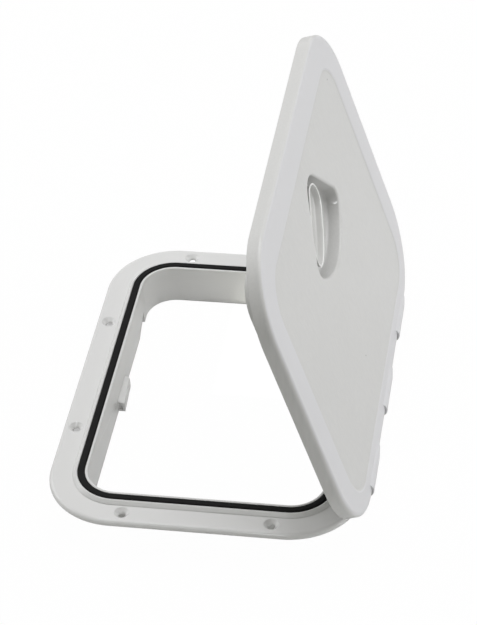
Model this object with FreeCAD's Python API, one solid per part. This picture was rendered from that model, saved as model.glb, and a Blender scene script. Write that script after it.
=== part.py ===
import FreeCAD, Part
import math
import os

# Deck inspection plate: a hinged access hatch with a rotary flush handle.
# Lengths are millimetres. The origin is the middle of the frame on the underside
# of its flange, where the deck surface lies. +Z is up, +X points to the hinge side,
# +Y runs along the hinge. The lid stands open, as in the photograph.

V = FreeCAD.Vector

# Frame moulding
FLANGE_WIDTH = 256.0
FLANGE_LENGTH = 355.4
FLANGE_CORNER_R = 58.7
FLANGE_T = 4.1
FLANGE_EDGE_R = 3.6
RIM_TOP_Z = 7.1
FLANGE_SIDE_W = 26.1
FLANGE_END_W = 26.7
SEAL_HALF_X = FLANGE_WIDTH / 2.0 - FLANGE_SIDE_W
SEAL_HALF_Y = FLANGE_LENGTH / 2.0 - FLANGE_END_W
SEAL_CORNER_R = 32.0
CHANNEL_W = 6.1
CHANNEL_FLOOR_Z = 2.0
OUTER_LIP_W = 4.0
INNER_LIP_W = 2.2
LIP_EDGE_R = 0.6
COLLAR_DEPTH = 27.74
COLLAR_WALL = 3.0
COLLAR_DRAFT = 1.5
OPEN_HALF_X = SEAL_HALF_X - CHANNEL_W / 2.0 - INNER_LIP_W
OPEN_HALF_Y = SEAL_HALF_Y - CHANNEL_W / 2.0 - INNER_LIP_W
OPEN_CORNER_R = SEAL_CORNER_R - CHANNEL_W / 2.0 - INNER_LIP_W
WALL_LOW_X = OPEN_HALF_X - COLLAR_DRAFT

# Deck screw holes, countersunk: one pair of rows on the ends, one on the sides
END_HOLES_X = 60.0
END_HOLES_EDGE = 12.1
END_HOLES_Y = FLANGE_LENGTH / 2.0 - END_HOLES_EDGE
SIDE_HOLES_EDGE = 10.7
SIDE_HOLES_X = FLANGE_WIDTH / 2.0 - SIDE_HOLES_EDGE
SIDE_HOLES_Y = 69.2
HOLE_R = 2.6
SINK_R = 6.1

# Keeper for the latch tongue, moulded on the collar wall away from the hinge
KEEPER_Y0 = -10.5
KEEPER_Y1 = 24.0
KEEPER_REACH = 5.65
KEEPER_TIP_X = KEEPER_REACH - WALL_LOW_X
KEEPER_SPLAY = 1.6
KEEPER_BEVEL = 2.0
KEEPER_TOP = 8.9
KEEPER_FALL = 1.8
KEEPER_TIP_Z = KEEPER_TOP - COLLAR_DEPTH
KEEPER_ROOT_Z = KEEPER_TIP_Z + KEEPER_FALL
KEEPER_EDGE_R = 1.1
KEEPER_CORE = 2.2
KEEPER_SKIN = 1.8

# Wedge-shaped relief in the same wall
WEDGE_Y0 = 75.0
WEDGE_Y1 = 110.0
WEDGE_DEPTH = 2.3
WEDGE_TOP_Z = -8.0

# Gasket
GASKET_CLEARANCE = 0.1
GASKET_RISE = 0.75
GASKET_TOP_Z = RIM_TOP_Z + GASKET_RISE
GASKET_EDGE_R = 1.4

# Hinge
AXIS_OUT = 1.6
AXIS_X = FLANGE_WIDTH / 2.0 + AXIS_OUT
AXIS_Z = 7.88
STATION_PITCH = 97.2
STATION_SHIFT = 0.6
STATION_LENGTH = 53.0
HOOD_R = 6.8
HOOD_T = 1.5
HOOD_START_DEG = -30.0
HOOD_RAMP = 12.0
HOOD_LOW_R = 5.6
HOOD_INNER_R = HOOD_R - HOOD_T
HOOD_CLEARANCE = 0.4
CHEEK_T = 5.0
HOOD_OVERHANG = 3.0
KNUCKLE_R = 4.7
KNUCKLE_GAP = 0.5
PIN_R = 2.5
PIN_FIT = 0.05
PIN_SEAT = 0.02
ARM_ROOT = 16.6
ARM_X0 = AXIS_X - ARM_ROOT
ARM_W = 8.4
ARM_X1 = ARM_X0 + ARM_W
ARM_TOP_Z = 9.4
ARM_LOW_Z = 5.4

# Lid, given as if closed
LID_SIDE_LAP = 5.1
LID_END_LAP = 9.8
LID_WIDTH = FLANGE_WIDTH + 2.0 * LID_SIDE_LAP
LID_LENGTH = FLANGE_LENGTH + 2.0 * LID_END_LAP
LID_CORNER_R = 61.3
LID_RIM_Z = 1.05
LID_TOP_Z = 12.85
LID_EDGE_R = 3.5
LID_SKIRT_T = 2.5
LID_PLATE_T = 2.8
LID_OPEN_DEG = 73.0
HINGE_SKIRT_Z = 4.2
HINGE_SKIRT_END = 42.5
HINGE_SKIRT_HALF = LID_LENGTH / 2.0 - HINGE_SKIRT_END
PANEL_DEPTH = 0.9
PANEL_SLOPE = 2.6
PANEL_INSET = 29.6
PANEL_HINGE_INSET = 16.5
PANEL_CORNER_R = 32.0
SEAL_RIB_W = 2.0
SEAL_RIB_Z = 8.2
PLUG_GAP_X = 2.65
PLUG_GAP_Y = 2.25
PLUG_HALF_X = OPEN_HALF_X - PLUG_GAP_X
PLUG_HALF_Y = OPEN_HALF_Y - PLUG_GAP_Y
PLUG_CORNER_R = 24.0
PLUG_T = 2.2
PLUG_BOTTOM_Z = -16.45
RIB_T = 1.8
RIB_DEPTH = 5.0
RIB_END_GAP = 51.5
RIB_Y = PLUG_HALF_Y - RIB_END_GAP
RIB_X = 30.0

# Handle pocket in the lid, round the handle's pivot
PIVOT_INSET = 71.2
PIVOT_X = PIVOT_INSET - LID_WIDTH / 2.0
PIVOT_Y = 8.2
POCKET_FREE_R = 21.5
POCKET_SPREAD_DEG = 43.0
POCKET_ARC_R = 73.5
POCKET_ARC_SHIFT = -15.0
POCKET_CORNER_R = 12.0
POCKET_DEPTH = 15.1
POCKET_TAPER = 0.18
POCKET_BOTTOM_R = 6.0
POCKET_WALL = 2.5
POCKET_LIP_R = 2.2
BOSS_R = 9.0
BOSS_BOTTOM_Z = -14.0

# Handle lever and its shaft
LEVER_HUB_R = 15.0
LEVER_STRAIGHT = 20.0
LEVER_REACH = 54.5
LEVER_RIM_DROP = 1.8
LEVER_HEIGHT = 7.4
LEVER_DISH = 5.2
LEVER_RIM_W = 1.5
LEVER_TAPER = 3.0
LEVER_REST_DEG = -55.5
SHAFT_R = 5.0
SHAFT_FIT = 0.05
SHAFT_HUB_R = 8.0
WASHER_T = 1.0
WASHER_R = 9.0
WASHER_SLACK = 0.05
O_RING_W = 1.8
O_RING_Z = -9.5
O_RING_GROOVE = 1.3

# Latch tongue below the lid
TONGUE_REST_DEG = 90.0
TONGUE_SHORT = 1.65
TONGUE_REACH = WALL_LOW_X + PIVOT_X - TONGUE_SHORT
TONGUE_W = 12.0
TONGUE_T = 4.0
TONGUE_DROP = 0.36
TONGUE_HUB_R = 8.0
SQUARE = 6.9
SQUARE_FIT = 0.05
TAIL_WASHER_R = 6.5
SCREW_R = 2.0
SCREW_HEAD_R = 4.0
SCREW_HEAD_H = 2.4
SCREW_LENGTH = 10.0


def outline(half_x, half_y, radius, z, mid_x=0.0, mid_y=0.0):
    """Closed wire of a rounded rectangle at height z."""
    turns = ((1, 1, 0), (-1, 1, 90), (-1, -1, 180), (1, -1, 270))
    arcs = []
    for sx, sy, start in turns:
        cx = mid_x + sx * (half_x - radius)
        cy = mid_y + sy * (half_y - radius)
        points = []
        for step in (0, 45, 90):
            a = math.radians(start + step)
            points.append(V(cx + radius * math.cos(a), cy + radius * math.sin(a), z))
        arcs.append(points)
    edges = []
    for i, points in enumerate(arcs):
        edges.append(Part.Arc(points[0], points[1], points[2]).toShape())
        following = arcs[(i + 1) % 4][0]
        edges.append(Part.makeLine(points[2], following))
    return Part.Wire(edges)


def prism(half_x, half_y, radius, z0, z1, mid_x=0.0, mid_y=0.0):
    """Solid rounded rectangle from z0 up to z1."""
    face = Part.Face(outline(half_x, half_y, radius, z0, mid_x, mid_y))
    return face.extrude(V(0, 0, z1 - z0))


def ruled(lower, upper):
    """Solid between two like wires."""
    return Part.makeLoft([lower, upper], True, True)


def ring(half_x, half_y, radius, width, z0, z1):
    """Rounded rectangular band centred on the given outline."""
    w = width / 2.0
    outer = prism(half_x + w, half_y + w, radius + w, z0, z1)
    inner = prism(half_x - w, half_y - w, radius - w, z0 - 1.0, z1 + 1.0)
    return outer.cut(inner)


def edges_at(shape, z, test=None):
    """Edges of a shape that lie wholly at height z."""
    found = []
    for edge in shape.Edges:
        box = edge.BoundBox
        if abs(box.ZMin - z) < 0.01 and abs(box.ZMax - z) < 0.01:
            if test is None or test(box):
                found.append(edge)
    return found


def disc(x, y, radius, z0, z1):
    """Upright cylinder."""
    return Part.makeCylinder(radius, z1 - z0, V(x, y, z0))


def rod(radius, y0, y1):
    """Cylinder about the hinge axis."""
    return Part.makeCylinder(radius, y1 - y0, V(AXIS_X, y0, AXIS_Z), V(0, 1, 0))


def block(x0, x1, y0, y1, z0, z1):
    """Box between two corners."""
    return Part.makeBox(x1 - x0, y1 - y0, z1 - z0, V(x0, y0, z0))


def extrude_xz(points, y0, y1):
    """Polygon in the X-Z plane extruded along Y."""
    corners = [V(x, y0, z) for x, z in points]
    wire = Part.makePolygon(corners + [corners[0]])
    return Part.Face(wire).extrude(V(0, y1 - y0, 0))


def stations():
    """Middle of each hinge station along Y."""
    return [STATION_SHIFT + i * STATION_PITCH for i in (-1, 0, 1)]


def opened(shape):
    """Turn a piece of the closed lid to the open position."""
    turned = shape.copy()
    turned.rotate(V(AXIS_X, 0, AXIS_Z), V(0, 1, 0), LID_OPEN_DEG)
    return turned


def countersunk(x, y):
    """Cutter for one deck screw hole."""
    hole = disc(x, y, HOLE_R, -1.0, FLANGE_T + 1.0)
    drop = SINK_R - HOLE_R
    cone = Part.makeCone(HOLE_R, SINK_R, drop, V(x, y, FLANGE_T - drop))
    mouth = disc(x, y, SINK_R, FLANGE_T, FLANGE_T + 1.0)
    return hole.fuse([cone, mouth])


def make_keeper():
    """Ledge that the tongue turns under, hollowed at its near end."""
    root_x = 0.2 - OPEN_HALF_X
    low = -COLLAR_DEPTH
    slope = (KEEPER_ROOT_Z - KEEPER_TIP_Z) / (KEEPER_TIP_X - root_x)
    side = extrude_xz(
        [(root_x, low), (KEEPER_TIP_X, low), (KEEPER_TIP_X, KEEPER_TIP_Z), (root_x, KEEPER_ROOT_Z)],
        KEEPER_Y0, KEEPER_Y1)
    far_x = KEEPER_TIP_X - KEEPER_SPLAY
    plan = Part.Face(Part.makePolygon([
        V(root_x, KEEPER_Y0, low), V(KEEPER_TIP_X, KEEPER_Y0, low), V(far_x, KEEPER_Y1 - KEEPER_BEVEL, low),
        V(far_x - KEEPER_BEVEL, KEEPER_Y1, low), V(root_x, KEEPER_Y1, low), V(root_x, KEEPER_Y0, low)]))
    body = side.common(plan.extrude(V(0, 0, COLLAR_DEPTH)))
    crest = []
    for edge in body.Edges:
        at = edge.CenterOfMass
        top = KEEPER_TIP_Z + slope * (KEEPER_TIP_X - at.x)
        if at.x > root_x + 0.1 and abs(at.z - top) < 0.02:
            crest.append(edge)
    body = body.makeFillet(KEEPER_EDGE_R, crest)
    core = extrude_xz(
        [(root_x + 2.2, low + KEEPER_SKIN), (KEEPER_TIP_X - KEEPER_SKIN, low + KEEPER_SKIN),
         (KEEPER_TIP_X - KEEPER_SKIN, KEEPER_TIP_Z - KEEPER_SKIN), (root_x + 2.2, KEEPER_ROOT_Z - KEEPER_SKIN)],
        KEEPER_Y0 - 1.0, KEEPER_Y0 + KEEPER_CORE)
    return body, core


def make_wedge():
    """Tapering relief in the wall beside the keeper."""
    wall = -WALL_LOW_X
    low = -COLLAR_DEPTH - 0.5
    a = V(wall + 1.0, WEDGE_Y1, low)
    b = V(wall - WEDGE_DEPTH, WEDGE_Y1, low)
    c = V(wall + 1.0, WEDGE_Y0, low)
    d = V(wall + 1.0, WEDGE_Y1, WEDGE_TOP_Z + 3.0)
    faces = []
    for corners in ((a, b, c), (a, b, d), (b, c, d), (a, c, d)):
        faces.append(Part.Face(Part.makePolygon(list(corners) + [corners[0]])))
    solid = Part.makeSolid(Part.makeShell(faces))
    if solid.Volume < 0:
        solid.reverse()
    return solid


def make_frame():
    """Flange, seal channel, collar, hinge arms and keeper in one moulding."""
    half_x = FLANGE_WIDTH / 2.0
    half_y = FLANGE_LENGTH / 2.0
    flange = prism(half_x, half_y, FLANGE_CORNER_R, 0.0, FLANGE_T)
    flange = flange.makeFillet(FLANGE_EDGE_R, edges_at(flange, FLANGE_T))
    channel = CHANNEL_W / 2.0
    lip = channel + OUTER_LIP_W
    rim = prism(SEAL_HALF_X + lip, SEAL_HALF_Y + lip, SEAL_CORNER_R + lip, 0.0, RIM_TOP_Z)
    rim = rim.makeFillet(LIP_EDGE_R * 1.6, edges_at(rim, RIM_TOP_Z))
    open_x = OPEN_HALF_X
    open_y = OPEN_HALF_Y
    open_r = OPEN_CORNER_R
    wall = COLLAR_WALL
    collar = prism(open_x + wall, open_y + wall, open_r + wall, -COLLAR_DEPTH, 1.0)
    body = flange.fuse([rim, collar])
    seat = ring(SEAL_HALF_X, SEAL_HALF_Y, SEAL_CORNER_R, CHANNEL_W, CHANNEL_FLOOR_Z, RIM_TOP_Z + 2.0)
    body = body.cut(seat)
    d = COLLAR_DRAFT
    way = ruled(
        outline(open_x - d, open_y - d, open_r - d, -COLLAR_DEPTH),
        outline(open_x, open_y, open_r, RIM_TOP_Z))
    body = body.cut(way)
    body = body.cut(prism(open_x - d, open_y - d, open_r - d, -COLLAR_DEPTH - 1.0, -COLLAR_DEPTH + 0.01))
    crest = [e for e in edges_at(body, RIM_TOP_Z) if abs(e.BoundBox.XMax) < SEAL_HALF_X + channel + 0.1
             and abs(e.BoundBox.XMin) < SEAL_HALF_X + channel + 0.1
             and abs(e.BoundBox.YMax) < SEAL_HALF_Y + channel + 0.1
             and abs(e.BoundBox.YMin) < SEAL_HALF_Y + channel + 0.1]
    body = body.makeFillet(LIP_EDGE_R, crest)
    cutters = [make_wedge()]
    notch = STATION_LENGTH / 2.0 + HOOD_CLEARANCE
    for mid in stations():
        cutters.append(rod(HOOD_R + HOOD_CLEARANCE, mid - notch, mid + notch))
    for sx in (-1, 1):
        for sy in (-1, 1):
            cutters.append(countersunk(sx * END_HOLES_X, sy * END_HOLES_Y))
            cutters.append(countersunk(sx * SIDE_HOLES_X, sy * SIDE_HOLES_Y))
    body = body.cut(cutters)
    keeper, core = make_keeper()
    body = body.fuse(keeper).cut(core)
    arms = []
    bores = []
    half = STATION_LENGTH / 2.0 - HOOD_OVERHANG - CHEEK_T - KNUCKLE_GAP
    for mid in stations():
        arm = extrude_xz(
            [(ARM_X0, FLANGE_T - 0.6), (ARM_X1, FLANGE_T - 0.6), (ARM_X1 + 3.0, ARM_LOW_Z),
             (AXIS_X, ARM_LOW_Z), (AXIS_X, ARM_TOP_Z), (ARM_X0 + 3.0, ARM_TOP_Z), (ARM_X0, ARM_TOP_Z - 3.0)],
            mid - half, mid + half)
        arms.append(arm.fuse(rod(KNUCKLE_R, mid - half, mid + half)))
        bores.append(rod(PIN_R + PIN_FIT, mid - half - 1.0, mid + half + 1.0))
    body = body.fuse(arms).cut(bores)
    return body.removeSplitter()


def make_gasket():
    """Black seal in the frame's channel."""
    width = CHANNEL_W - 2.0 * GASKET_CLEARANCE
    band = ring(SEAL_HALF_X, SEAL_HALF_Y, SEAL_CORNER_R, width, CHANNEL_FLOOR_Z, GASKET_TOP_Z)
    return band.makeFillet(GASKET_EDGE_R, edges_at(band, GASKET_TOP_Z))


def pocket_outline(grow, z):
    """Outline of the handle pocket, grown or shrunk evenly, at height z."""
    spread = math.radians(POCKET_SPREAD_DEG)
    nx, ny = -math.sin(spread), math.cos(spread)
    dx, dy = math.cos(spread), math.sin(spread)
    inner = POCKET_FREE_R - POCKET_CORNER_R
    reach = POCKET_ARC_R - POCKET_CORNER_R
    wx, wy = nx * inner - POCKET_ARC_SHIFT, ny * inner
    along = wx * dx + wy * dy
    s = -along + math.sqrt(along ** 2 - wx ** 2 - wy ** 2 + reach ** 2)
    px, py = nx * inner + dx * s, ny * inner + dy * s
    turn = math.atan2(py, px - POCKET_ARC_SHIFT)
    side = spread + math.pi / 2.0

    def at(cx, cy, radius, angle):
        return V(PIVOT_X + cx + radius * math.cos(angle), PIVOT_Y + cy + radius * math.sin(angle), z)

    def arc(cx, cy, radius, a0, a1):
        mid = (a0 + a1) / 2.0
        return Part.Arc(at(cx, cy, radius, a0), at(cx, cy, radius, mid), at(cx, cy, radius, a1)).toShape()

    corner = POCKET_CORNER_R + grow
    free = POCKET_FREE_R + grow
    edges = [
        arc(POCKET_ARC_SHIFT, 0.0, POCKET_ARC_R + grow, -turn, turn),
        arc(px, py, corner, turn, side),
        Part.makeLine(at(px, py, corner, side), at(0.0, 0.0, free, side)),
        arc(0.0, 0.0, free, side, 2.0 * math.pi - side),
        Part.makeLine(at(0.0, 0.0, free, -side), at(px, -py, corner, -side)),
        arc(px, -py, corner, -side, -turn)]
    return Part.Wire(edges)


def pocket_levels():
    """Heights of the panel surface and of the pocket floor."""
    panel = LID_TOP_Z - PANEL_DEPTH
    return panel, panel - POCKET_DEPTH


def make_pocket():
    """Outer wall and inner space of the handle pocket."""
    panel, floor = pocket_levels()
    under = floor - POCKET_WALL
    under_taper = POCKET_TAPER * (panel - under)
    shell = ruled(
        pocket_outline(POCKET_WALL - under_taper, under),
        pocket_outline(POCKET_WALL, panel))
    shell = shell.makeFillet(POCKET_BOTTOM_R, edges_at(shell, under))
    space = ruled(
        pocket_outline(-POCKET_TAPER * POCKET_DEPTH, floor),
        pocket_outline(POCKET_TAPER * 2.0, panel + 2.0))
    space = space.makeFillet(POCKET_BOTTOM_R, edges_at(space, floor))
    return shell, space


def make_hood(mid):
    """Lid pieces of one hinge station: hood, cheeks, and the space they leave."""
    half = STATION_LENGTH / 2.0
    y0, y1 = mid - half, mid + half
    ramp = Part.makeCone(HOOD_R, HOOD_LOW_R, HOOD_RAMP, V(AXIS_X, y1 - HOOD_RAMP, AXIS_Z), V(0, 1, 0))
    barrel = rod(HOOD_R, y0, y1 - HOOD_RAMP).fuse(ramp)
    a = math.radians(HOOD_START_DEG)
    far = HOOD_R * 3.0
    plate = LID_TOP_Z - LID_PLATE_T + 0.45
    sector = extrude_xz(
        [(AXIS_X, AXIS_Z), (AXIS_X + far * math.cos(a), AXIS_Z + far * math.sin(a)),
         (AXIS_X + far, AXIS_Z + far), (AXIS_X - far, AXIS_Z + far), (AXIS_X - far, plate),
         (AXIS_X, plate)], y0, y1)
    hood = barrel.common(sector)
    reach = half - HOOD_OVERHANG
    near = mid - reach
    closed = mid + reach - CHEEK_T
    cheeks = []
    for low, high in ((near, near + CHEEK_T), (closed, y1)):
        slab = block(AXIS_X - far, AXIS_X + far, low, high, AXIS_Z - far, AXIS_Z + far)
        root = block(AXIS_X - 9.0, AXIS_X, low, min(high, mid + reach), AXIS_Z + 1.0, LID_TOP_Z - PANEL_DEPTH - 0.4)
        cheeks.append(barrel.common(slab).fuse(root))
    space = rod(HOOD_INNER_R, y0, closed)
    skirt = block(AXIS_X - 6.0, LID_WIDTH / 2.0 + 1.0, y0, y1, 0.0, AXIS_Z + HOOD_R * math.sin(a))
    return hood, cheeks, space, skirt


def make_lid():
    """Lid moulding, as closed."""
    half_x = LID_WIDTH / 2.0
    half_y = LID_LENGTH / 2.0
    body = prism(half_x, half_y, LID_CORNER_R, LID_RIM_Z, LID_TOP_Z)
    body = body.makeFillet(LID_EDGE_R, edges_at(body, LID_TOP_Z))
    t = LID_SKIRT_T
    under = LID_TOP_Z - LID_PLATE_T
    hollow = prism(half_x - t, half_y - t, LID_CORNER_R - t, LID_RIM_Z - 1.0, under)
    body = body.cut(hollow)
    body = body.cut(block(AXIS_X - 8.0, half_x + 5.0, -HINGE_SKIRT_HALF, HINGE_SKIRT_HALF,
                          LID_RIM_Z - 1.0, HINGE_SKIRT_Z))
    step = PANEL_SLOPE / 2.0
    x0 = -half_x + PANEL_INSET
    x1 = half_x - PANEL_HINGE_INSET
    mid_x = (x0 + x1) / 2.0
    wide = (x1 - x0) / 2.0
    tall = half_y - PANEL_INSET
    panel = LID_TOP_Z - PANEL_DEPTH
    rise = PANEL_SLOPE / PANEL_DEPTH
    recess = ruled(
        outline(wide - step, tall - step, PANEL_CORNER_R - step, panel, mid_x),
        outline(wide + step + rise, tall + step + rise, PANEL_CORNER_R + step + rise, LID_TOP_Z + 1.0, mid_x))
    body = body.cut(recess)
    rib = SEAL_RIB_W / 2.0
    slab = prism(SEAL_HALF_X - rib, SEAL_HALF_Y - rib, SEAL_CORNER_R - rib, under - PANEL_DEPTH, under + 0.5)
    seal = ring(SEAL_HALF_X, SEAL_HALF_Y, SEAL_CORNER_R, SEAL_RIB_W, SEAL_RIB_Z, under + 0.5)
    p = PLUG_T / 2.0
    plug = ring(PLUG_HALF_X - p, PLUG_HALF_Y - p, PLUG_CORNER_R - p, PLUG_T, PLUG_BOTTOM_Z, under)
    ribs = []
    rib_low = under - PANEL_DEPTH - RIB_DEPTH
    for sy in (-1, 1):
        ribs.append(block(-PLUG_HALF_X + 1.0, PLUG_HALF_X - 1.0, sy * RIB_Y - RIB_T / 2.0,
                          sy * RIB_Y + RIB_T / 2.0, rib_low, under))
    ribs.append(block(RIB_X - RIB_T / 2.0, RIB_X + RIB_T / 2.0, -PLUG_HALF_Y + 1.0, PLUG_HALF_Y - 1.0,
                      rib_low, under))
    shell, space = make_pocket()
    floor = pocket_levels()[1]
    boss = disc(PIVOT_X, PIVOT_Y, BOSS_R, BOSS_BOTTOM_Z, floor)
    body = body.fuse([slab, seal, plug, shell, boss] + ribs)
    body = body.cut(space)
    body = body.cut(disc(PIVOT_X, PIVOT_Y, SHAFT_R + SHAFT_FIT, BOSS_BOTTOM_Z - 1.0, floor + 1.0))
    lip = [e for e in edges_at(body, panel)
           if e.BoundBox.XMin > PIVOT_X - 30.0 and e.BoundBox.XMax < PIVOT_X + 65.0
           and abs(e.BoundBox.YMin - PIVOT_Y) < 60.0 and abs(e.BoundBox.YMax - PIVOT_Y) < 60.0]
    body = body.makeFillet(POCKET_LIP_R, lip)
    for mid in stations():
        hood, cheeks, gap, skirt = make_hood(mid)
        body = body.cut([gap, skirt])
        body = body.fuse([hood.cut(gap)] + cheeks)
        body = body.cut(rod(PIN_R + PIN_SEAT, mid - STATION_LENGTH, mid + STATION_LENGTH).common(
            block(AXIS_X - 3.0, AXIS_X + 3.0, mid - STATION_LENGTH / 2.0, mid + STATION_LENGTH / 2.0,
                  AXIS_Z - 3.0, AXIS_Z + 3.0)))
    return body.removeSplitter()


def make_pin(mid):
    """Hinge pin of one station."""
    half = STATION_LENGTH / 2.0 - HOOD_OVERHANG
    return rod(PIN_R, mid - half, mid + half)


def lever_outline(inset, z):
    """Outline of the lever along +X from its pivot at the origin."""
    r = LEVER_HUB_R - inset
    s = LEVER_STRAIGHT
    tip = LEVER_REACH - inset
    back = Part.Arc(V(0, r, z), V(-r, 0, z), V(0, -r, z)).toShape()
    low = Part.makeLine(V(0, -r, z), V(s, -r, z))
    ellipse = Part.Ellipse(V(s, 0, z), tip - s, r)
    nose = Part.ArcOfEllipse(ellipse, -math.pi / 2.0, math.pi / 2.0).toShape()
    high = Part.makeLine(V(s, r, z), V(0, r, z))
    return Part.Wire([back, low, nose, high])


def levels():
    """Heights along the shaft, as closed."""
    floor = pocket_levels()[1]
    rim = LID_TOP_Z - LEVER_RIM_DROP
    tongue_top = -COLLAR_DEPTH - TONGUE_DROP
    return {
        "rim": rim,
        "keel": rim - LEVER_HEIGHT,
        "hub": floor + WASHER_T + WASHER_SLACK,
        "floor": floor,
        "boss": BOSS_BOTTOM_Z,
        "hub_top": BOSS_BOTTOM_Z - WASHER_T - WASHER_SLACK,
        "tongue": tongue_top,
        "tail": tongue_top - TONGUE_T}


def make_lever():
    """Scooped lever with its shaft, along +X at the origin, as closed."""
    at = levels()
    outer = ruled(lever_outline(LEVER_TAPER, at["keel"]), lever_outline(0.0, at["rim"]))
    w = LEVER_RIM_W
    scoop = ruled(
        lever_outline(w + LEVER_TAPER, at["rim"] - LEVER_DISH),
        lever_outline(w - 0.6, at["rim"] + 1.0))
    scoop = scoop.makeFillet(2.0, edges_at(scoop, at["rim"] - LEVER_DISH))
    dish = outer.cut(scoop)
    dish = dish.makeFillet(0.45, edges_at(dish, at["rim"]))
    dish = dish.makeFillet(1.2, edges_at(dish, at["keel"]))
    hub = disc(0.0, 0.0, SHAFT_HUB_R, at["hub"], at["keel"] + 0.5)
    stem = disc(0.0, 0.0, SHAFT_R, at["tongue"], at["keel"] + 0.5)
    side = SQUARE / 2.0
    square = block(-side, side, -side, side, at["tail"] + 0.5, at["tongue"] + 0.1)
    square.rotate(V(0, 0, 0), V(0, 0, 1), TONGUE_REST_DEG - LEVER_REST_DEG)
    lever = dish.fuse([hub, stem, square])
    low = O_RING_Z - O_RING_W / 2.0
    groove = disc(0, 0, SHAFT_R + 1.0, low, low + O_RING_W).cut(
        disc(0, 0, SHAFT_R - O_RING_GROOVE, low - 1.0, low + O_RING_W + 1.0))
    hole = disc(0, 0, SCREW_R + PIN_SEAT, at["tail"], at["tail"] + SCREW_LENGTH + 1.0)
    return lever.cut([groove, hole]).removeSplitter()


def make_o_ring():
    """Rubber ring in the shaft's groove."""
    low = O_RING_Z - O_RING_W / 2.0 + 0.05
    high = low + O_RING_W - 0.1
    band = disc(0, 0, SHAFT_R - 0.25, low, high).cut(
        disc(0, 0, SHAFT_R - O_RING_GROOVE, low - 1.0, high + 1.0))
    rims = [e for e in band.Edges if e.Curve.TypeId == "Part::GeomCircle"
            and abs(e.Curve.Radius - (SHAFT_R - 0.25)) < 0.01]
    return band.makeFillet(0.5, rims)


def make_washer(radius, bore, z0, z1):
    """Flat washer on the shaft's axis."""
    return disc(0, 0, radius, z0, z1).cut(disc(0, 0, bore, z0 - 1.0, z1 + 1.0))


def make_tongue():
    """Latch tongue with its sleeve, along +X at the origin, as closed."""
    at = levels()
    half = TONGUE_W / 2.0
    sleeve = disc(0, 0, TONGUE_HUB_R, at["tail"], at["hub_top"])
    blade = block(0, TONGUE_REACH - half, -half, half, at["tail"], at["tongue"])
    tip = disc(TONGUE_REACH - half, 0, half, at["tail"], at["tongue"])
    body = sleeve.fuse([blade, tip]).removeSplitter()
    body = body.makeFillet(0.6, [e for e in edges_at(body, at["tongue"]) if e.BoundBox.XMax > TONGUE_HUB_R + 2.0])
    side = SQUARE / 2.0 + SQUARE_FIT
    bore = disc(0, 0, SHAFT_R + SHAFT_FIT, at["tongue"], at["hub_top"] + 1.0)
    square = block(-side, side, -side, side, at["tail"] - 1.0, at["tongue"] + 0.1)
    return body.cut([bore, square])


def make_screw():
    """Pan-head screw that holds the tongue on the shaft."""
    at = levels()
    top = at["tail"] - WASHER_T
    head = disc(0, 0, SCREW_HEAD_R, top - SCREW_HEAD_H, top)
    head = head.makeFillet(1.2, edges_at(head, top - SCREW_HEAD_H))
    shank = disc(0, 0, SCREW_R, top, at["tail"] + SCREW_LENGTH)
    slot_a = block(-2.2, 2.2, -0.5, 0.5, top - SCREW_HEAD_H - 1.0, top - SCREW_HEAD_H + 1.2)
    slot_b = block(-0.5, 0.5, -2.2, 2.2, top - SCREW_HEAD_H - 1.0, top - SCREW_HEAD_H + 1.2)
    return head.fuse(shank).cut([slot_a, slot_b]).removeSplitter()


def on_pivot(shape, turn_deg):
    """Place a piece of the handle set at its pivot and open it with the lid."""
    placed = shape.copy()
    placed.rotate(V(0, 0, 0), V(0, 0, 1), turn_deg)
    placed.translate(V(PIVOT_X, PIVOT_Y, 0))
    return opened(placed)


def main():
    """Build every piece and write it out."""
    at = levels()
    floor = at["floor"]
    nodes = {
        "frame": make_frame(),
        "gasket": make_gasket(),
        "lid": opened(make_lid()),
        "handle_lever": on_pivot(make_lever(), LEVER_REST_DEG),
        "shaft_o_ring": on_pivot(make_o_ring(), 0.0),
        "friction_washer": on_pivot(
            make_washer(WASHER_R, SHAFT_R + SHAFT_FIT, floor, floor + WASHER_T), 0.0),
        "thrust_washer": on_pivot(
            make_washer(TONGUE_HUB_R, SHAFT_R + SHAFT_FIT, at["boss"] - WASHER_T, at["boss"]), 0.0),
        "latch_tongue": on_pivot(make_tongue(), TONGUE_REST_DEG),
        "tongue_washer": on_pivot(
            make_washer(TAIL_WASHER_R, SCREW_R + 0.15, at["tail"] - WASHER_T, at["tail"]), 0.0),
        "tongue_screw": on_pivot(make_screw(), 20.0)}
    for index, mid in enumerate(stations()):
        nodes["hinge_pin_%d" % (index + 1)] = opened(make_pin(mid))
    os.makedirs("parts", exist_ok=True)
    for name, shape in nodes.items():
        solid = shape
        if len(shape.Solids) == 1:
            solid = shape.Solids[0]
        print(name, "solids", len(shape.Solids), "valid", shape.isValid(), "cm3", round(shape.Volume / 1000.0, 2))
        solid.exportStep(os.path.join("parts", name + ".step"))


main()
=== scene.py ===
import logging
import math
from dataclasses import dataclass
from enum import Enum
from typing import Optional

import bpy
from mathutils import Matrix, Vector


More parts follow.
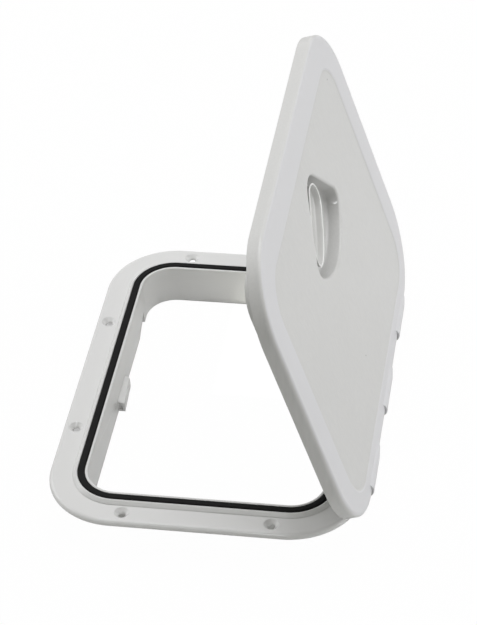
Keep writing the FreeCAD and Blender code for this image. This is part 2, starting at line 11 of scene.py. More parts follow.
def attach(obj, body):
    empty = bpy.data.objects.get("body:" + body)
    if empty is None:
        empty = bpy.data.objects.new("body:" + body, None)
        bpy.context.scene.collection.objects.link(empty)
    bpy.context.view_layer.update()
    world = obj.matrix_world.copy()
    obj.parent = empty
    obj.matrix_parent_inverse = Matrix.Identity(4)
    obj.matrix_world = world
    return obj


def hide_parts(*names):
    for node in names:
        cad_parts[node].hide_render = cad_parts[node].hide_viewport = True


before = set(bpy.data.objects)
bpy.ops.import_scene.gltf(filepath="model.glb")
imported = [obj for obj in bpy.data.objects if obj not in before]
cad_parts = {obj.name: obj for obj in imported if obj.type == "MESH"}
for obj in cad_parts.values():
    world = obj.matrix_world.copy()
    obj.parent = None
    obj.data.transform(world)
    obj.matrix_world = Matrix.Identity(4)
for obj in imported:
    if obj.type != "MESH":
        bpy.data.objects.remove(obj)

LOG = logging.getLogger("deck_plate")

MM = 0.001
WHITE = (1.0, 1.0, 1.0, 1.0)

# Hinge axis in metres, and the angle at which the lid stands open
HINGE = Vector((129.6, 0.0, 7.88)) * MM
OPEN_DEG = 73.0

# Points of the frame's mesh that are closer than this, in metres, are one point
SAME_POINT = 0.000002

# Radians that a wave texture of scale 1 runs through in one unit of length
WAVE_TURN = 20.0


def linear(code: str) -> tuple[float, float, float, float]:
    """Turn an sRGB hex colour into linear RGBA.

    Args:
        code: Six hex digits, with or without a leading hash sign.

    Returns:
        Red, green, blue and alpha between 0 and 1.
    """
    digits = code.lstrip("#")
    values = []
    for start in (0, 2, 4):
        c = int(digits[start:start + 2], 16) / 255.0
        values.append(c / 12.92 if c <= 0.04045 else ((c + 0.055) / 1.055) ** 2.4)
    return (values[0], values[1], values[2], 1.0)


def opened(x: float, y: float, z: float) -> Vector:
    """Place a point of the closed lid, in mm, where it is with the lid open.

    Args:
        x: Distance across the plate.
        y: Distance along the hinge.
        z: Height above the deck.

    Returns:
        The point in metres.
    """
    turn = Matrix.Rotation(math.radians(OPEN_DEG), 4, "Y")
    return HINGE + turn @ (Vector((x, y, z)) * MM - HINGE)


def select_only(obj: bpy.types.Object) -> None:
    """Make one object the only selected and the active one.

    Args:
        obj: The object to select.
    """
    bpy.ops.object.select_all(action="DESELECT")
    obj.select_set(True)
    bpy.context.view_layer.objects.active = obj


def add_object(name: str, mesh: bpy.types.Mesh) -> bpy.types.Object:
    """Add an object with a mesh to the scene.

    Args:
        name: The object's name.
        mesh: Its mesh.

    Returns:
        The new object, at the origin.
    """
    obj = bpy.data.objects.new(name, mesh)
    bpy.context.collection.objects.link(obj)
    return obj


def face_outward(obj: bpy.types.Object) -> None:
    """Turn all faces of a closed mesh outward.

    Args:
        obj: The object with the mesh. It is left selected.
    """
    select_only(obj)
    bpy.ops.object.mode_set(mode="EDIT")
    bpy.ops.mesh.select_all(action="SELECT")
    bpy.ops.mesh.normals_make_consistent(inside=False)
    bpy.ops.object.mode_set(mode="OBJECT")


class Body(Enum):
    """Moving groups of the plate."""

    FRAME = "frame"
    LID = "lid"
    LATCH = "latch"


class NodeSheet:
    """One node tree, filled from empty."""

    def __init__(self, tree: bpy.types.NodeTree) -> None:
        """Take a tree and empty it.

        Args:
            tree: The node tree of a material or a world.
        """
        self.tree = tree
        self.tree.nodes.clear()

    def add(self, kind: str, **inputs: object) -> bpy.types.Node:
        """Add one node and set or link its inputs.

        Args:
            kind: The node's type name.
            inputs: Attribute or socket names, with underscores for spaces, or in0, in1 and
                so on for a socket's place. A socket value may be a plain value or another
                node's output.

        Returns:
            The new node.
        """
        node = self.tree.nodes.new(kind)
        for name, value in inputs.items():
            socket = self._socket(node, name)
            if socket is None:
                setattr(node, name, value)
            elif isinstance(value, bpy.types.NodeSocket):
                self.tree.links.new(value, socket)
            else:
                socket.default_value = value
        return node

    @staticmethod
    def _socket(node: bpy.types.Node, name: str) -> Optional[bpy.types.NodeSocket]:
        """Find a node's input.

        Args:
            node: The node.
            name: The input's name, or in with its number.

        Returns:
            The input, or None if the name is an attribute of the node.
        """
        if name.startswith("in") and name[2:].isdigit():
            return node.inputs[int(name[2:])]
        wanted = name.replace("_", " ").lower()
        for socket in node.inputs:
            if socket.name.lower() == wanted:
                return socket
        return None


class Shading(NodeSheet):
    """Builder for one node material. Its patterns lie on the piece's own coordinates."""

    def __init__(self, name: str) -> None:
        """Start an empty material.

        Args:
            name: The material's name.
        """
        self.material = bpy.data.materials.new(name)
        self.material.use_nodes = True
        super().__init__(self.material.node_tree)
        self.coord = self.add("ShaderNodeTexCoord")

    def noise(self, scale_mm: float, detail: float = 2.0) -> bpy.types.NodeSocket:
        """Noise whose features are about scale_mm across.

        Args:
            scale_mm: Size of one feature in millimetres.
            detail: Octaves of finer noise.

        Returns:
            The noise value's output.
        """
        node = self.add("ShaderNodeTexNoise", Vector=self.coord.outputs["Object"],
                        Scale=1000.0 / scale_mm, Detail=detail, Roughness=0.5)
        return node.outputs[0]

    def span(self, value: bpy.types.NodeSocket, low: float, high: float) -> bpy.types.NodeSocket:
        """Map a 0 to 1 value onto the range from low to high."""
        node = self.add("ShaderNodeMapRange", Value=value, in3=low, in4=high)
        return node.outputs[0]

    def mix(self, factor: object, a: object, b: object) -> bpy.types.NodeSocket:
        """Mix two colours by a factor, each a value or another node's output."""
        node = self.add("ShaderNodeMix", data_type="RGBA", in0=factor, in6=a, in7=b)
        return node.outputs[2]

    def finish(self, shader: bpy.types.Node) -> bpy.types.Material:
        """Connect the last shader and hand over the material."""
        self.add("ShaderNodeOutputMaterial", Surface=shader.outputs[0])
        return self.material


@dataclass(frozen=True)
class LidBorderHighlight:
    """The border round the lid's grained panel, painted lighter as a highlight, in mm of the closed plate.
    """

    color: str
    half_x: float
    half_y: float
    corner: float
    mid_x: float
    above: float
    blur: float = 0.2
    blur_high: float = 0.5

    def factor(self, s: Shading) -> bpy.types.NodeSocket:
        """One on the border, where the highlight is painted, and zero on the panel and the skirt.

        Args:
            s: The material that the border belongs to.

        Returns:
            The factor's output.
        """
        x, z = self._closed(s)
        place = s.add("ShaderNodeSeparateXYZ", Vector=s.coord.outputs["Object"])
        along_x = s.add("ShaderNodeMath", operation="SUBTRACT", in0=x, in1=self.mid_x)
        along_y = s.add("ShaderNodeMath", operation="DIVIDE", in0=place.outputs[1], in1=MM)
        far_x = s.add("ShaderNodeMath", operation="ABSOLUTE", in0=along_x.outputs[0])
        far_y = s.add("ShaderNodeMath", operation="ABSOLUTE", in0=along_y.outputs[0])
        far = s.add("ShaderNodeCombineXYZ", X=far_x.outputs[0], Y=far_y.outputs[0])
        inner = (self.half_x - self.corner, self.half_y - self.corner, 0.0)
        away = s.add("ShaderNodeVectorMath", operation="SUBTRACT", in0=far.outputs[0], in1=inner)
        clear = s.add("ShaderNodeVectorMath", operation="MAXIMUM", in0=away.outputs[0],
                      in1=(0.0, 0.0, 0.0))
        length = s.add("ShaderNodeVectorMath", operation="LENGTH", in0=clear.outputs[0])
        outside = s.add("ShaderNodeMapRange", Value=length.outputs["Value"],
                        in1=self.corner - self.blur, in2=self.corner + self.blur)
        high = s.add("ShaderNodeMapRange", Value=z, in1=self.above - self.blur_high,
                     in2=self.above + self.blur_high)
        both = s.add("ShaderNodeMath", operation="MULTIPLY", in0=outside.outputs[0],
                     in1=high.outputs[0])
        return both.outputs[0]

    @staticmethod
    def _closed(s: Shading) -> tuple[bpy.types.NodeSocket, bpy.types.NodeSocket]:
        """Work out where a point of the open lid lies when the lid is closed.

        Args:
            s: The material that asks.

        Returns:
            The outputs of the closed plate's x and z, in mm.
        """
        start = opened(0.0, 0.0, 0.0)
        away = s.add("ShaderNodeVectorMath", operation="SUBTRACT", in0=s.coord.outputs["Object"],
                     in1=tuple(start))
        found = []
        for axis in (opened(1.0, 0.0, 0.0) - start, opened(0.0, 0.0, 1.0) - start):
            scaled = tuple(axis / (MM * MM))
            dot = s.add("ShaderNodeVectorMath", operation="DOT_PRODUCT", in0=away.outputs[0],
                        in1=scaled)
            found.append(dot.outputs["Value"])
        return found[0], found[1]


@dataclass(frozen=True)
class MouldedPlastic:
    """Injection-moulded ASA: even pigment, a faint flow-mottled gloss and soft edges."""

    name: str
    color: str
    roughness: float = 0.30
    rough_down: float = 0.03
    rough_up: float = 0.05
    gloss_mm: float = 22.0
    mottle_mm: float = 60.0
    mottle_share: float = 0.965
    edge_mm: float = 0.5
    edge_samples: int = 4
    pebble_mm: float = 1.6
    pebble_height: float = 0.02
    pebble_strength: float = 0.25
    streak: float = 0.0
    streak_mm: float = 1.923
    streak_stretch: float = 0.03
    skin: float = 0.22
    skin_roughness: float = 0.09
    # Painted shade: the share by which the colour darkens in hollows
    painted_hollow_shade: float = 0.0
    hollow_mm: float = 22.0
    hollow_samples: int = 8
    specks: tuple[tuple[float, float, float], ...] = ()
    speck_z: float = 11.95
    speck_color: str = "#6E6E6A"
    speck_core: float = 0.6
    # The lid's border, painted lighter as a highlight
    border_highlight: Optional[LidBorderHighlight] = None

    def material(self) -> bpy.types.Material:
        """Build the material.

        Returns:
            The finished material.
        """
        s = Shading(self.name)
        base = linear(self.color)
        shade = tuple(c * self.mottle_share for c in base[:3]) + (1.0,)
        color = s.mix(s.noise(self.mottle_mm, detail=3.0), base, shade)
        if self.streak > 0.0:
            color = self._streaked(s, color)
        # Painted shade in the hollows, from ambient occlusion
        if self.painted_hollow_shade > 0.0:
            color = self._paint_hollow_shade(s, color)
        # Painted highlight: the border takes a lighter colour
        if self.border_highlight:
            color = s.mix(self.border_highlight.factor(s), color, linear(self.border_highlight.color))
        for speck in self.specks:
            color = self._specked(s, color, speck)
        rough = s.span(s.noise(self.gloss_mm, detail=3.0), self.roughness - self.rough_down,
                       self.roughness + self.rough_up)
        # The rounded edges catch a thin light line, as on a moulding
        soft = s.add("ShaderNodeBevel", samples=self.edge_samples, Radius=self.edge_mm * MM)
        # Mould grain is finer than this, and is drawn coarse enough to stir the gloss
        bump = s.add("ShaderNodeBump", Strength=self.pebble_strength,
                     Distance=self.pebble_height * MM, Height=s.noise(self.pebble_mm, detail=2.0),
                     Normal=soft.outputs[0])
        shader = s.add("ShaderNodeBsdfPrincipled", Base_Color=color, Roughness=rough, IOR=1.49,
                       Coat_Weight=self.skin, Coat_Roughness=self.skin_roughness,
                       Normal=bump.outputs[0])
        return s.finish(shader)

    def _streaked(self, s: Shading, color: bpy.types.NodeSocket) -> bpy.types.NodeSocket:
        """Draw faint upright drag lines over a colour.

        The real lines are finer than the picture can show, so these lie about 2 mm apart.

        Args:
            s: The material.
            color: The colour so far.

        Returns:
            The colour with the lines.
        """
        grain = s.add("ShaderNodeMapping", Vector=s.coord.outputs["Object"],
                      Scale=(1.0, 1.0, self.streak_stretch))
        fine = s.add("ShaderNodeTexNoise", Vector=grain.outputs[0], Scale=1000.0 / self.streak_mm,
                     Detail=2.0, Roughness=0.5)
        drawn = s.span(fine.outputs[0], 1.0 - self.streak, 1.0 + self.streak)
        tint = s.add("ShaderNodeVectorMath", operation="SCALE", in0=color, Scale=drawn)
        return tint.outputs[0]

    def _paint_hollow_shade(self, s: Shading, color: bpy.types.NodeSocket) -> bpy.types.NodeSocket:
        """Paint shade into a colour in hollows, darker where ambient occlusion finds near surfaces.

        Args:
            s: The material.
            color: The colour so far.

        Returns:
            The colour with painted shade in the hollows.
        """
        open_sky = s.add("ShaderNodeAmbientOcclusion", samples=self.hollow_samples,
                         Distance=self.hollow_mm * MM)
        dim = s.add("ShaderNodeVectorMath", operation="SCALE", in0=color,
                    Scale=s.span(open_sky.outputs["AO"], 1.0 - self.painted_hollow_shade, 1.0))
        return dim.outputs[0]

    def _specked(self, s: Shading, color: bpy.types.NodeSocket,
                 speck: tuple[float, float, float]) -> bpy.types.NodeSocket:
        """Add one small dark spot round a point of the closed lid.

        Args:
            s: The material.
            color: The colour so far.
            speck: The spot's x and y on the closed plate and its radius, in mm.

        Returns:
            The colour with the spot.
        """
        x, y, radius = speck
        spot = opened(x, y, self.speck_z)
        far = s.add("ShaderNodeVectorMath", operation="DISTANCE", in0=s.coord.outputs["Object"],
                    in1=tuple(spot))
        level = s.add("ShaderNodeMapRange", Value=far.outputs["Value"],
                      in1=radius * MM * self.speck_core, in2=radius * MM)
        return s.mix(level.outputs[0], linear(self.speck_color), color)


@dataclass(frozen=True)
class SealRubber:
    """Extruded EPDM rubber: near-black, a dull sheen and fine drag lines."""

    name: str
    color: str = "#060606"
    dusty: str = "#0B0B0A"
    dust_mm: float = 14.0
    sheen_mm: float = 6.0
    sheen: tuple[float, float] = (0.55, 0.72)
    specular: float = 0.2
    drag_mm: float = 0.7
    drag_height: float = 0.03
    drag_strength: float = 0.3

    def material(self) -> bpy.types.Material:
        """Build the material.

        Returns:
            The finished material.
        """
        s = Shading(self.name)
        color = s.mix(s.noise(self.dust_mm, detail=4.0), linear(self.color), linear(self.dusty))
        rough = s.span(s.noise(self.sheen_mm, detail=3.0), *self.sheen)
        bump = s.add("ShaderNodeBump", Strength=self.drag_strength, Distance=self.drag_height * MM,
                     Height=s.noise(self.drag_mm, detail=3.0))
        shader = s.add("ShaderNodeBsdfPrincipled", Base_Color=color, Roughness=rough, IOR=1.36,
                       Specular_IOR_Level=self.specular, Normal=bump.outputs[0])
        return s.finish(shader)


@dataclass(frozen=True)
class TurnedSteel:
    """Stainless steel, turned: bright grey with fine rings along the hinge."""

    name: str
    color: str = "#B4B4B0"
    dull: str = "#9C9C98"
    dull_mm: float = 9.0
    ring_mm: float = 0.4488
    ring_wobble: float = 1.5
    gloss: tuple[float, float] = (0.22, 0.36)

    def material(self) -> bpy.types.Material:
        """Build the material.

        Returns:
            The finished material.
        """
        s = Shading(self.name)
        # A turning tool leaves rings this close. A wave texture turns by WAVE_TURN in each unit
        wave = s.add("ShaderNodeTexWave", Vector=s.coord.outputs["Object"],
                     Scale=math.tau / (WAVE_TURN * self.ring_mm * MM),
                     Distortion=self.ring_wobble, bands_direction="Y")
        rough = s.span(wave.outputs[1], *self.gloss)
        color = s.mix(s.noise(self.dull_mm, detail=3.0), linear(self.color), linear(self.dull))
        shader = s.add("ShaderNodeBsdfPrincipled", Base_Color=color, Metallic=1.0,
                       Roughness=rough)
        return s.finish(shader)


@dataclass(frozen=True)
class TurnedNylon:
    """Cut or moulded nylon: waxy, slightly cloudy and matt."""

    name: str
    color: str
    roughness: float = 0.48
    wax: float = 0.05
    cloud_mm: float = 8.0
    cloud_gain: float = 1.12
    cloud_lift: float = 0.01
    grain_mm: float = 0.9
    grain_height: float = 0.03
    grain_strength: float = 0.3

    def material(self) -> bpy.types.Material:
        """Build the material.

        Returns:
            The finished material.
        """
        s = Shading(self.name)
        base = linear(self.color)
        cloud = tuple(min(1.0, c * self.cloud_gain + self.cloud_lift) for c in base[:3]) + (1.0,)
        color = s.mix(s.noise(self.cloud_mm, detail=3.0), base, cloud)
        bump = s.add("ShaderNodeBump", Strength=self.grain_strength,
                     Distance=self.grain_height * MM, Height=s.noise(self.grain_mm, detail=2.0))
        shader = s.add("ShaderNodeBsdfPrincipled", Base_Color=color, Roughness=self.roughness,
                       IOR=1.53, Subsurface_Weight=self.wax, Normal=bump.outputs[0])
        return s.finish(shader)


# The frame shines and its edges are broad and soft. The lid is satin with faint drag lines, painted shade
# in its hollows and a border painted lighter as a highlight. The lever shines, and its rim, glossier and
# painted lighter as a highlight, is the brightest part
PANEL_BORDER_HIGHLIGHT = LidBorderHighlight(color="#DFDFE1", half_x=110.05, half_y=157.9, corner=32.0, mid_x=6.55,
                         above=11.9)
FRAME_ASA = MouldedPlastic("asa_white_gloss_frame", "#EBEBEA", roughness=0.24, edge_mm=1.3)
LID_ASA = MouldedPlastic(
    "asa_white_satin_lid", "#DADAD8", roughness=0.30, edge_mm=0.35, streak=0.05, painted_hollow_shade=0.55,
    specks=((77.3, -18.2, 0.8), (-90.2, 141.2, 0.8)), border_highlight=PANEL_BORDER_HIGHLIGHT)
LEVER_ASA = MouldedPlastic("asa_white_gloss_lever", "#DEDEDC", roughness=0.22, edge_mm=0.3,
                           painted_hollow_shade=0.12)
# The rim is glossier than the lever and painted lighter, as a highlight
LEVER_RIM_HIGHLIGHT = MouldedPlastic("asa_white_rim_highlight", "#F6F6F4", roughness=0.18, edge_mm=0.2,
                               skin=0.4)
RUBBER = SealRubber("epdm_black_seal")
STEEL = TurnedSteel("stainless_turned")
NATURAL_NYLON = TurnedNylon("nylon_natural", "#CFCBBB")
BLACK_NYLON = TurnedNylon("nylon_black", "#2B2B2B")


@dataclass
class Assembly:
    """The carried-over nodes of one body and the finish of each."""

    body: Body
    finishes: dict[str, object]

    def dress(self) -> None:
        """Give each node its material."""
        for node, finish in self.finishes.items():
            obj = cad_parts[node]
            material = bpy.data.materials.get(finish.name) or finish.material()
            if not obj.material_slots:
                obj.data.materials.append(material)
            for slot in obj.material_slots:
                slot.material = material
            LOG.info("%s: %s in %s", self.body.value, node, finish.name)


@dataclass(frozen=True)
class LeverForm:
    """The hollow-topped lever with its shaft, in mm, along +X before it is turned."""

    pivot: tuple[float, float] = (-61.9, 8.2)
    rest_deg: float = -55.5
    hub_r: float = 15.0
    straight: float = 20.0
    reach: float = 54.5
    rim_z: float = 11.05
    keel_z: float = 3.65
    # Inset and height above the keel, round the keel's corner
    keel_round: tuple[tuple[float, float], ...] = ((3.9, 0.0), (3.3, 0.15), (2.85, 0.55), (2.5, 1.2))
    # Inset and depth under the rim's top, over the glossier rim that is painted lighter as a highlight
    rim_round: tuple[tuple[float, float], ...] = (
        (0.15, 0.85), (0.0, 0.5), (0.12, 0.2), (0.4, 0.04), (0.75, 0.0), (1.1, 0.05), (1.38, 0.22))
    # Inset past the rim's width and depth under its top, down the dish's steep wall
    dish_wall: tuple[tuple[float, float], ...] = ((0.0, 0.6), (0.15, 1.8), (0.3, 3.2))
    rim_w: float = 1.5
    dish: float = 6.2
    bowl_inset: float = 0.45
    bowl_wide: float = 2.2
    bowl_deep: float = 1.7
    bowl_steps: int = 8
    bowl_sag: float = 0.15
    core: float = 12.6
    steps: int = 28
    side_steps: int = 6
    smooth_deg: float = 38.0
    seat_r: float = 8.0
    seat_z: float = -2.1
    sunk: float = 0.4
    shaft_r: float = 5.0
    shaft_z: float = -28.1
    shaft_steps: int = 48
    groove_r: float = 3.7
    groove_z: tuple[float, float] = (-8.6, -10.4)
    square: float = 3.45
    square_deg: float = 145.5
    square_z: tuple[float, float] = (-31.6, -28.0)

    def outline(self, inset: float, z: float) -> list[tuple[float, float, float]]:
        """Closed outline of the lever, drawn in by an inset.

        Args:
            inset: Distance in from the rim's outer edge.
            z: Height of the outline.

        Returns:
            The outline's points, once round.
        """
        r = self.hub_r - inset
        tip = self.reach - inset - self.straight
        points = []
        for i in range(self.steps + 1):
            a = math.pi / 2.0 + math.pi * i / self.steps
            points.append((r * math.cos(a), r * math.sin(a), z))
        for i in range(1, self.side_steps):
            points.append((self.straight * i / self.side_steps, -r, z))
        for i in range(2 * self.steps + 1):
            a = -math.pi / 2.0 + math.pi * i / (2 * self.steps)
            points.append((self.straight + tip * math.cos(a), r * math.sin(a), z))
        for i in range(self.side_steps - 1, 0, -1):
            points.append((self.straight * i / self.side_steps, r, z))
        return points

    def shell(self) -> list[tuple[float, float]]:
        """List the lever's rings, from the keel over the rim into the dish.

        Returns:
            The inset and the height of each ring.
        """
        low, top = self.keel_z, self.rim_z
        rings = [(self.core, low)]
        rings += [(inset, low + up) for inset, up in self.keel_round]
        rings += [(inset, top - down) for inset, down in self.rim_round]
        rings += [(self.rim_w + inset, top - down) for inset, down in self.dish_wall]
        deep = top - self.dish
        foot = self.rim_w + self.bowl_inset
        rings.append((foot, deep + self.bowl_deep))
        for i in range(1, self.bowl_steps + 1):
            a = math.pi / 2.0 * i / self.bowl_steps
            rings.append((foot + self.bowl_wide * (1.0 - math.cos(a)),
                          deep + self.bowl_deep * (1.0 - math.sin(a))))
        rings.append((self.core, deep - self.bowl_sag))
        return rings

    def shaft(self) -> list[list[tuple[float, float, float]]]:
        """List the circles of the turned shaft with its seat and O-ring groove.

        Returns:
            The circles, from the lowest up.
        """
        high, low = self.groove_z
        turned = ((self.seat_r, self.keel_z + self.sunk), (self.seat_r, self.seat_z),
                  (self.shaft_r, self.seat_z), (self.shaft_r, high), (self.groove_r, high),
                  (self.groove_r, low), (self.shaft_r, low), (self.shaft_r, self.shaft_z))
        stack = []
        for radius, z in reversed(turned):
            circle = []
            for i in range(self.shaft_steps):
                a = 2.0 * math.pi * i / self.shaft_steps
                circle.append((radius * math.cos(a), radius * math.sin(a), z))
            stack.append(circle)
        return stack

    def square_end(self) -> list[list[tuple[float, float, float]]]:
        """List the corners of the square that the tongue sits on.

        Returns:
            The lower and the upper four corners.
        """
        a = math.radians(self.square_deg)
        end = []
        for z in self.square_z:
            corners = []
            for sx, sy in ((-1, -1), (1, -1), (1, 1), (-1, 1)):
                x, y = sx * self.square, sy * self.square
                corners.append((x * math.cos(a) - y * math.sin(a),
                                x * math.sin(a) + y * math.cos(a), z))
            end.append(corners)
        return end

    def build(self) -> bpy.types.Object:
        """Make the lever's mesh in its open place, with the rim's faces on a second slot.

        Returns:
            The lever's object.
        """
        points: list[tuple[float, float, float]] = []
        faces: list[tuple[int, ...]] = []
        self._skin(points, faces, [self.outline(inset, z) for inset, z in self.shell()])
        self._skin(points, faces, self.shaft())
        self._skin(points, faces, self.square_end())
        turn = Matrix.Rotation(math.radians(self.rest_deg), 4, "Z")
        placed = []
        for point in points:
            flat = turn @ Vector(point)
            placed.append(opened(flat.x + self.pivot[0], flat.y + self.pivot[1], flat.z))
        mesh = bpy.data.meshes.new("lever_moulding")
        mesh.from_pydata(placed, [], faces)
        mesh.validate()
        around = len(self.outline(0.0, 0.0))
        first = 1 + len(self.keel_round)
        last = first + len(self.rim_round)
        for polygon in mesh.polygons[first * around:last * around]:
            polygon.material_index = 1
        obj = add_object("lever_moulding", mesh)
        face_outward(obj)
        bpy.ops.object.shade_smooth_by_angle(angle=math.radians(self.smooth_deg))
        return obj

    @staticmethod
    def _skin(points: list, faces: list, rings: list) -> None:
        """Add a closed skin over a stack of rings with the same count of points.

        Args:
            points: The mesh's points, which grow.
            faces: The mesh's faces, which grow.
            rings: The rings in order.
        """
        start = len(points)
        count = len(rings[0])
        for ring in rings:
            points.extend(ring)
        for level in range(len(rings) - 1):
            for i in range(count):
                a = start + level * count + i
                b = start + level * count + (i + 1) % count
                faces.append((a, b, b + count, a + count))
        faces.append(tuple(start + i for i in reversed(range(count))))
        last = start + (len(rings) - 1) * count
        faces.append(tuple(last + i for i in range(count)))


@dataclass(frozen=True)
class RimForm:
    """The frame with its rim's outer wall sloped from a narrow lip down to the flange, in mm.

    The lip's edge, the slope's foot and the cutter's clear corner are each given by their
    distance outward from the seal's middle line and their height.
    """

    half_x: float = 101.9
    half_y: float = 151.0
    corner: float = 32.0
    lip_edge: tuple[float, float] = (4.1, 7.42)
    foot: tuple[float, float] = (7.2, 4.3)
    clear: tuple[float, float] = (7.2, 7.8)
    steps: int = 24

    def outline(self, offset: float, z: float) -> list[tuple[float, float, float]]:
        """The seal's outline moved outward by an offset.

        Args:
            offset: Distance outward from the seal's middle line.
            z: Height of the outline.

        Returns:
            The outline's points in metres, once round.
        """
        points = []
        r = self.corner + offset
        for quarter, (sx, sy) in enumerate(((1, 1), (-1, 1), (-1, -1), (1, -1))):
            for i in range(self.steps + 1):
                a = math.pi / 2.0 * (quarter + i / self.steps)
                x = sx * (self.half_x - self.corner) + r * math.cos(a)
                y = sy * (self.half_y - self.corner) + r * math.sin(a)
                points.append((x * MM, y * MM, z * MM))
        return points

    def cutter(self) -> bpy.types.Object:
        """Make the three-sided ring that takes the rim's outer corner away.

        Returns:
            The cutter's object.
        """
        corners = (self.lip_edge, self.foot, self.clear)
        points: list[tuple[float, float, float]] = []
        for offset, z in corners:
            points.extend(self.outline(offset, z))
        count = len(points) // len(corners)
        faces = []
        for level in range(len(corners)):
            low, high = level * count, (level + 1) % len(corners) * count
            for i in range(count):
                after = (i + 1) % count
                faces.append((low + i, low + after, high + after, high + i))
        mesh = bpy.data.meshes.new("rim_cutter")
        mesh.from_pydata(points, [], faces)
        ring = add_object("rim_cutter", mesh)
        face_outward(ring)
        return ring

    def build(self) -> bpy.types.Object:
        """Cut the slope into a copy of the frame.

        Returns:
            The frame's object.
        """
        solid = bpy.data.objects["frame"]
        obj = add_object("frame_moulding", solid.data.copy())
        ring = self.cutter()
        select_only(obj)
        bpy.ops.object.mode_set(mode="EDIT")
        bpy.ops.mesh.select_all(action="SELECT")
        bpy.ops.mesh.remove_doubles(threshold=SAME_POINT)
        bpy.ops.object.mode_set(mode="OBJECT")
        cut = obj.modifiers.new("rim_slope", "BOOLEAN")
        cut.operation = "DIFFERENCE"
        cut.solver = "EXACT"
        cut.object = ring
        bpy.ops.object.modifier_apply(modifier=cut.name)
        bpy.data.objects.remove(ring)
        return obj


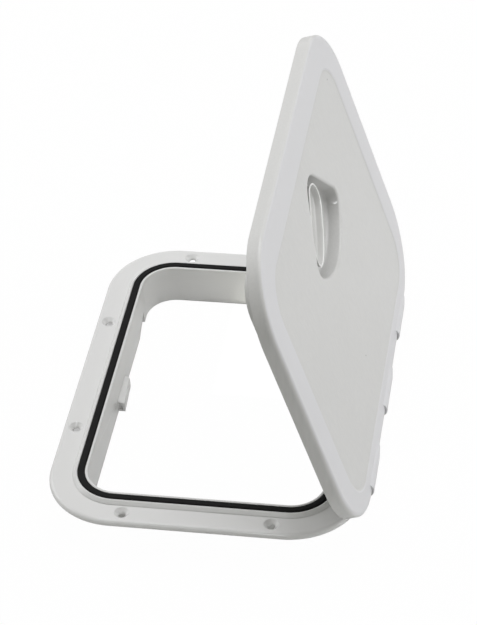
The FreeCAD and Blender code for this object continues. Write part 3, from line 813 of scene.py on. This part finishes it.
@dataclass
class Studio:
    """Camera, soft lights, floor and backdrop."""

    floor_z: float = -27.74
    floor_gap: float = 0.0002
    floor_size: float = 30.0
    floor_color: str = "#F4F4F4"
    camera_at: tuple[float, float, float] = (299.5, -1505.4, 1316.6)
    right: tuple[float, float, float] = (0.98662469, 0.15686134, -0.04434235)
    down: tuple[float, float, float] = (0.06493339, -0.62770657, -0.77573714)
    ahead: tuple[float, float, float] = (-0.14951715, 0.76248212, -0.62949634)
    focal_px: float = 2398.59
    centre_px: tuple[float, float] = (230.63, 318.34)
    image_px: tuple[int, int] = (477, 625)
    sensor_mm: float = 36.0
    far_end: float = 20.0
    sky: float = 0.19
    shade_tint: str = "#FFFFF3"
    light_tint: str = "#FCFCFF"
    # Share of plain white in the floor that the camera sees. The rest is lit floor with shadows
    white_share: float = 0.985
    # Glow of the floor under the opening, which lights the collar's inside as bright paper does,
    # and the rectangle that it covers, in metres
    paper_glow: float = 0.7
    paper_middle: tuple[float, float] = (0.035, 0.080)
    paper_half: tuple[float, float] = (0.055, 0.060)
    # Soft dark spots under the left screw holes, in metres, and the radii where each one starts
    # and where it is full
    hole_shadows: tuple[tuple[float, float, float], ...] = (
        (-0.1261, -0.0387, 0.0), (-0.1261, 0.1026, 0.0))
    spot_radii: tuple[float, float] = (0.008, 0.004)
    # The spots show only near the photograph's angle, from the first cosine to the second
    spot_view: tuple[float, float] = (0.97, 0.985)

    def camera(self) -> bpy.types.Object:
        """Set the camera at the photograph's viewpoint.

        Returns:
            The camera object.
        """
        data = bpy.data.cameras.new("photo_camera")
        wide, tall = self.image_px
        data.sensor_fit = "AUTO"
        data.sensor_width = self.sensor_mm
        data.lens = self.focal_px * self.sensor_mm / tall
        data.shift_x = (wide / 2.0 - self.centre_px[0]) / tall
        data.shift_y = (self.centre_px[1] - tall / 2.0) / tall
        data.clip_end = self.far_end
        cam = bpy.data.objects.new("photo_camera", data)
        bpy.context.collection.objects.link(cam)
        axes = (Vector(self.right), -Vector(self.down), -Vector(self.ahead))
        basis = Matrix(axes).transposed().to_4x4()
        cam.matrix_world = Matrix.Translation(Vector(self.camera_at) * MM) @ basis
        bpy.context.scene.camera = cam
        return cam

    def panel(self, name: str, at: tuple[float, float, float], size: float, power: float,
              target: tuple[float, float, float] = (0.03, 0.0, 0.06), diffuse: bool = True) -> None:
        """Add one square soft light aimed at a point.

        Args:
            name: The light's name.
            at: Its place in metres.
            size: Its side in metres.
            power: Its power in watts.
            target: The point it faces.
            diffuse: False for a light that shows only in reflections.
        """
        data = bpy.data.lights.new(name, "AREA")
        data.shape = "SQUARE"
        data.size = size
        data.energy = power
        data.color = linear(self.light_tint)[:3]
        obj = bpy.data.objects.new(name, data)
        obj.location = at
        obj.visible_diffuse = diffuse
        way = Vector(target) - Vector(at)
        obj.rotation_euler = way.to_track_quat("-Z", "Y").to_euler()
        bpy.context.collection.objects.link(obj)

    def lights(self) -> None:
        """Place the soft lights."""
        self.panel("top_light", at=(0.2, 0.5, 2.2), size=2.0, power=30.0)
        self.panel("right_light", at=(2.2, 0.1, 0.9), size=1.8, power=16.6)
        self.panel("left_light", at=(-1.8, 0.4, 1.2), size=1.6, power=13.6)
        self.panel("small_front_light", at=(-0.12, -1.25, 1.41), size=0.12, power=2.5, diffuse=False)

    def backdrop(self) -> None:
        """Make the world: white where it is seen or mirrored, and a dim soft sky as light."""
        world = bpy.data.worlds.new("studio")
        bpy.context.scene.world = world
        world.use_nodes = True
        sheet = NodeSheet(world.node_tree)
        path = sheet.add("ShaderNodeLightPath")
        seen = sheet.add("ShaderNodeMath", operation="MAXIMUM", in0=path.outputs["Is Camera Ray"],
                         in1=path.outputs["Is Glossy Ray"])
        also = sheet.add("ShaderNodeMath", operation="MAXIMUM", in0=seen.outputs[0],
                         in1=path.outputs["Is Transmission Ray"])
        lamp = sheet.add("ShaderNodeBackground", Color=linear(self.shade_tint), Strength=self.sky)
        white = sheet.add("ShaderNodeBackground", Color=WHITE, Strength=1.0)
        mix = sheet.add("ShaderNodeMixShader", in0=also.outputs[0], in1=lamp.outputs[0],
                        in2=white.outputs[0])
        sheet.add("ShaderNodeOutputWorld", in0=mix.outputs[0])

    def floor(self) -> None:
        """Add the pale floor that the collar stands on. From below it is see-through."""
        level = self.floor_z * MM - self.floor_gap
        bpy.ops.mesh.primitive_plane_add(size=self.floor_size, location=(0.0, 0.0, level))
        plane = bpy.context.object
        plane.name = "studio_floor"
        s = Shading("studio_floor_white")
        matt = s.add("ShaderNodeBsdfDiffuse", Color=linear(self.floor_color))
        glow = s.add("ShaderNodeEmission", Color=WHITE, Strength=1.0)
        under = s.add("ShaderNodeNewGeometry")
        share = self._seen_share(s, under)
        patch = self._patch(s, self.paper_middle, self.paper_half)
        lit = s.add("ShaderNodeEmission", Color=linear(self.shade_tint),
                    Strength=s.span(patch, 0.0, self.paper_glow))
        both = s.add("ShaderNodeAddShader", in0=matt.outputs[0], in1=lit.outputs[0])
        mix = s.add("ShaderNodeMixShader", in0=share, in1=both.outputs[0], in2=glow.outputs[0])
        clear = s.add("ShaderNodeBsdfTransparent")
        through = s.add("ShaderNodeMixShader", in0=under.outputs["Backfacing"],
                        in1=mix.outputs[0], in2=clear.outputs[0])
        plane.data.materials.append(s.finish(through))

    def _seen_share(self, s: Shading, place: bpy.types.Node) -> bpy.types.NodeSocket:
        """Work out how much of the floor the camera sees as plain white.

        Args:
            s: The floor's material.
            place: The geometry node, for the direction of sight.

        Returns:
            The share's output.
        """
        path = s.add("ShaderNodeLightPath")
        share = s.add("ShaderNodeMath", operation="MULTIPLY", in0=path.outputs["Is Camera Ray"],
                      in1=self.white_share)
        angle = s.add("ShaderNodeVectorMath", operation="DOT_PRODUCT",
                      in0=place.outputs["Incoming"], in1=tuple(-c for c in self.ahead))
        for spot in self.hole_shadows:
            far = s.add("ShaderNodeVectorMath", operation="DISTANCE",
                        in0=s.coord.outputs["Object"], in1=spot)
            near = s.add("ShaderNodeMapRange", Value=far.outputs["Value"],
                         in1=self.spot_radii[0], in2=self.spot_radii[1])
            aligned = s.add("ShaderNodeMapRange", Value=angle.outputs["Value"],
                            in1=self.spot_view[0], in2=self.spot_view[1])
            dark = s.add("ShaderNodeMath", operation="MULTIPLY", in0=near.outputs[0],
                         in1=aligned.outputs[0])
            share = s.add("ShaderNodeMath", operation="MULTIPLY", in0=share.outputs[0],
                          in1=s.span(dark.outputs[0], 1.0, 0.0))
        return share.outputs[0]

    @staticmethod
    def _patch(s: Shading, middle: tuple[float, float], half: tuple[float, float]) -> bpy.types.NodeSocket:
        """One inside a rectangle of the floor and zero outside it.

        Args:
            s: The floor's material.
            middle: The rectangle's middle in metres.
            half: Half its length and width in metres.

        Returns:
            The value's output.
        """
        place = s.add("ShaderNodeSeparateXYZ", Vector=s.coord.outputs["Object"])
        sides = []
        for axis in (0, 1):
            off = s.add("ShaderNodeMath", operation="SUBTRACT", in0=place.outputs[axis],
                        in1=middle[axis])
            far = s.add("ShaderNodeMath", operation="ABSOLUTE", in0=off.outputs[0])
            near = s.add("ShaderNodeMath", operation="LESS_THAN", in0=far.outputs[0],
                         in1=half[axis])
            sides.append(near.outputs[0])
        both = s.add("ShaderNodeMath", operation="MULTIPLY", in0=sides[0], in1=sides[1])
        return both.outputs[0]


def main() -> None:
    """Dress the plate and set the studio."""
    logging.basicConfig(level=logging.INFO, format="%(name)s %(message)s")
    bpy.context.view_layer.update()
    bpy.context.scene.view_settings.view_transform = "Standard"
    groups = [
        Assembly(Body.FRAME, {"frame": FRAME_ASA, "gasket": RUBBER}),
        Assembly(Body.LID, {
            "lid": LID_ASA, "hinge_pin_1": STEEL, "hinge_pin_2": STEEL, "hinge_pin_3": STEEL}),
        Assembly(Body.LATCH, {
            "handle_lever": LEVER_ASA, "shaft_o_ring": RUBBER, "friction_washer": NATURAL_NYLON,
            "thrust_washer": NATURAL_NYLON, "latch_tongue": BLACK_NYLON, "tongue_washer": STEEL,
            "tongue_screw": STEEL})]
    for group in groups:
        group.dress()
    rim = RimForm().build()
    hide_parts("frame")
    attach(rim, Body.FRAME.value)
    LOG.info("%s: %s in %s", Body.FRAME.value, rim.name, FRAME_ASA.name)
    lever = LeverForm().build()
    lever.data.materials.append(bpy.data.materials[LEVER_ASA.name])
    # The rim's faces take a glossier, lighter copy of the lever's plastic, a painted highlight
    lever.data.materials.append(LEVER_RIM_HIGHLIGHT.material())
    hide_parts("handle_lever")
    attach(lever, Body.LATCH.value)
    LOG.info("%s: %s in %s and %s", Body.LATCH.value, lever.name, LEVER_ASA.name, LEVER_RIM_HIGHLIGHT.name)
    studio = Studio()
    studio.camera()
    studio.lights()
    studio.backdrop()
    studio.floor()


if __name__ == "__main__":
    main()
